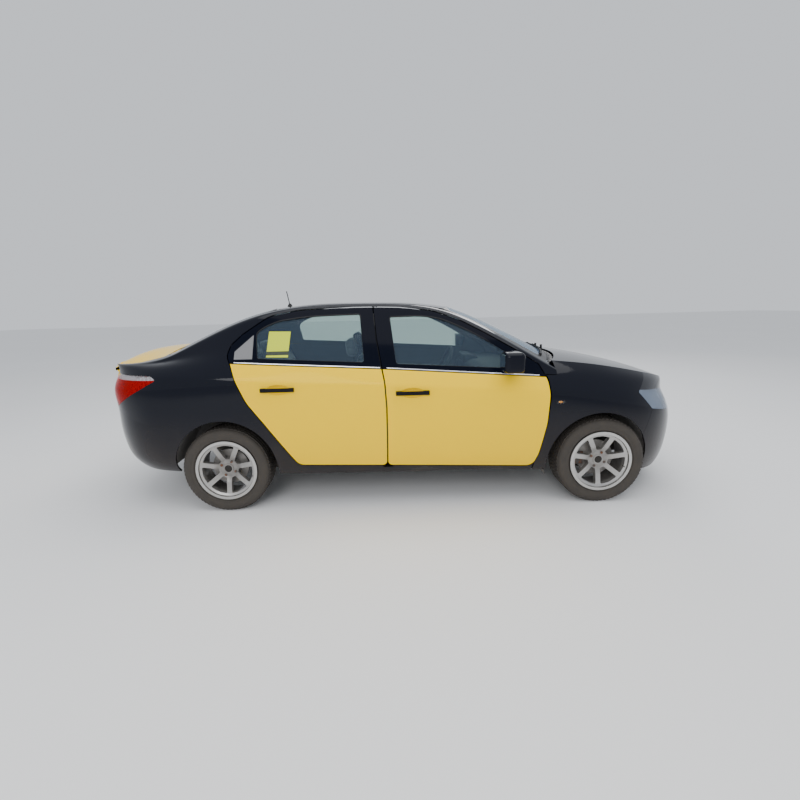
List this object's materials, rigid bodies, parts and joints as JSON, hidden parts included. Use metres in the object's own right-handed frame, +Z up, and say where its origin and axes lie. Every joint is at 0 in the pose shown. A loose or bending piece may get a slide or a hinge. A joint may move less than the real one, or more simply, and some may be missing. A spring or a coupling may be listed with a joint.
{
  "type": "saloon taxi",
  "caption": "Four-door saloon taxi in gloss black with yellow doors and a yellow boot lid, alloy wheels, opening doors, bonnet, boot lid and filler flap, and steered front wheels",
  "frame": {"origin": "on the ground under the middle of the car's bounding box", "axes": "+X to the front of the car, +Y to its left, +Z up"},
  "size_m": [4.4228, 1.98, 1.5726],
  "materials": {
    "body_black": "gloss paint",
    "panel_yellow": "gloss paint",
    "glass_tint": "clear, slightly green",
    "lamp_clear": "clear moulding",
    "lamp_red": "red and clear moulding",
    "trim_black": "grained",
    "liner_grey": "dull",
    "alloy": "silver lacquer",
    "tyre_rubber": "worn",
    "cabin_cloth": "woven",
    "cabin_plastic": "grained",
    "under_paint": "satin",
    "iron": "raw",
    "exhaust_steel": "dull"
  },
  "bodies": {
    "body": {"body_side_left": "body_black", "body_side_right": "body_black", "quarter_panel_left": "body_black", "quarter_panel_right": "body_black", "roof_panel": "body_black", "windscreen": "glass_tint", "rear_window": "glass_tint", "fender_left": "body_black", "fender_right": "body_black", "front_bumper": "body_black", "rear_bumper": "body_black", "grille": "trim_black", "headlamps": "lamp_clear", "tail_lamps": "lamp_red", "rear_deck": "body_black", "cowl_and_wipers": "trim_black", "floor_pan": "under_paint", "wheel_arch_liners": "liner_grey", "front_subframe": "under_paint", "engine_block": "iron", "rear_axle_beam": "under_paint", "exhaust": "exhaust_steel", "fuel_tank": "trim_black", "dashboard": "cabin_plastic", "front_seats": "cabin_cloth", "rear_bench": "cabin_cloth", "aerial": "trim_black"},
    "front_door_left_body": {"front_door_left": "panel_yellow", "front_door_glass_left": "glass_tint", "mirror_left": "trim_black"},
    "rear_door_left_body": {"rear_door_left": "panel_yellow", "rear_door_glass_left": "glass_tint"},
    "front_door_right_body": {"front_door_right": "panel_yellow", "front_door_glass_right": "glass_tint", "mirror_right": "trim_black"},
    "rear_door_right_body": {"rear_door_right": "panel_yellow", "rear_door_glass_right": "glass_tint"},
    "bonnet_body": {"bonnet": "body_black"},
    "boot_lid_body": {"boot_lid": "panel_yellow"},
    "fuel_flap_body": {"fuel_flap": "body_black"},
    "knuckle_left_body": {"knuckle_left": "iron"},
    "wheel_front_left": {"tyre_front_left": "tyre_rubber", "rim_front_left": "alloy"},
    "wheel_rear_left": {"tyre_rear_left": "tyre_rubber", "rim_rear_left": "alloy"},
    "knuckle_right_body": {"knuckle_right": "iron"},
    "wheel_front_right": {"tyre_front_right": "tyre_rubber", "rim_front_right": "alloy"},
    "wheel_rear_right": {"tyre_rear_right": "tyre_rubber", "rim_rear_right": "alloy"},
    "steering_wheel_body": {"steering_wheel": "cabin_plastic"}
  },
  "joints": [
    {"name": "front_door_right_hinge", "type": "hinge", "parent": "body", "child": "front_door_right_body", "pos_m": [0.95, -0.854, 0.65], "axis": [0, 0, 1], "range_deg": [0, 68]},
    {"name": "front_door_left_hinge", "type": "hinge", "parent": "body", "child": "front_door_left_body", "pos_m": [0.95, 0.854, 0.65], "axis": [0, 0, -1], "range_deg": [0, 68]},
    {"name": "rear_door_right_hinge", "type": "hinge", "parent": "body", "child": "rear_door_right_body", "pos_m": [-0.157, -0.854, 0.65], "axis": [0, 0, 1], "range_deg": [0, 68]},
    {"name": "rear_door_left_hinge", "type": "hinge", "parent": "body", "child": "rear_door_left_body", "pos_m": [-0.157, 0.854, 0.65], "axis": [0, 0, -1], "range_deg": [0, 68]},
    {"name": "bonnet_hinge", "type": "hinge", "parent": "body", "child": "bonnet_body", "pos_m": [1.05, 0, 1.005], "axis": [0, -1, 0], "range_deg": [0, 50]},
    {"name": "boot_lid_hinge", "type": "hinge", "parent": "body", "child": "boot_lid_body", "pos_m": [-1.64, 0, 1.105], "axis": [0, 1, 0], "range_deg": [0, 65]},
    {"name": "fuel_flap_hinge", "type": "hinge", "parent": "body", "child": "fuel_flap_body", "pos_m": [-1.477, 0.8675, 0.868], "axis": [0, 0, -1], "range_deg": [0, 80]},
    {"name": "steering_left", "type": "hinge", "parent": "body", "child": "knuckle_left_body", "pos_m": [1.4085, 0.73, 0.308], "axis": [0, 0, 1], "range_deg": [-32, 32]},
    {"name": "steering_right", "type": "hinge", "parent": "body", "child": "knuckle_right_body", "pos_m": [1.4085, -0.73, 0.308], "axis": [0, 0, 1], "range_deg": [-32, 32]},
    {"name": "steering_wheel_turn", "type": "hinge", "parent": "body", "child": "steering_wheel_body", "pos_m": [0.47, 0.37, 0.845], "axis": [-0.9135, 0, 0.4067], "range_deg": [-500, 500]},
    {"name": "wheel_front_left_spin", "type": "hinge", "parent": "knuckle_left_body", "child": "wheel_front_left", "pos_m": [1.4085, 0.75, 0.308], "axis": [0, 1, 0], "continuous": true},
    {"name": "wheel_front_right_spin", "type": "hinge", "parent": "knuckle_right_body", "child": "wheel_front_right", "pos_m": [1.4085, -0.75, 0.308], "axis": [0, 1, 0], "continuous": true},
    {"name": "wheel_rear_left_spin", "type": "hinge", "parent": "body", "child": "wheel_rear_left", "pos_m": [-1.2435, 0.74, 0.308], "axis": [0, 1, 0], "continuous": true},
    {"name": "wheel_rear_right_spin", "type": "hinge", "parent": "body", "child": "wheel_rear_right", "pos_m": [-1.2435, -0.74, 0.308], "axis": [0, 1, 0], "continuous": true}
  ],
  "couplings": [
    {"joint": "steering_right", "follows": "steering_left", "ratio": 1},
    {"joint": "steering_wheel_turn", "follows": "steering_left", "ratio": 15.5}
  ]
}
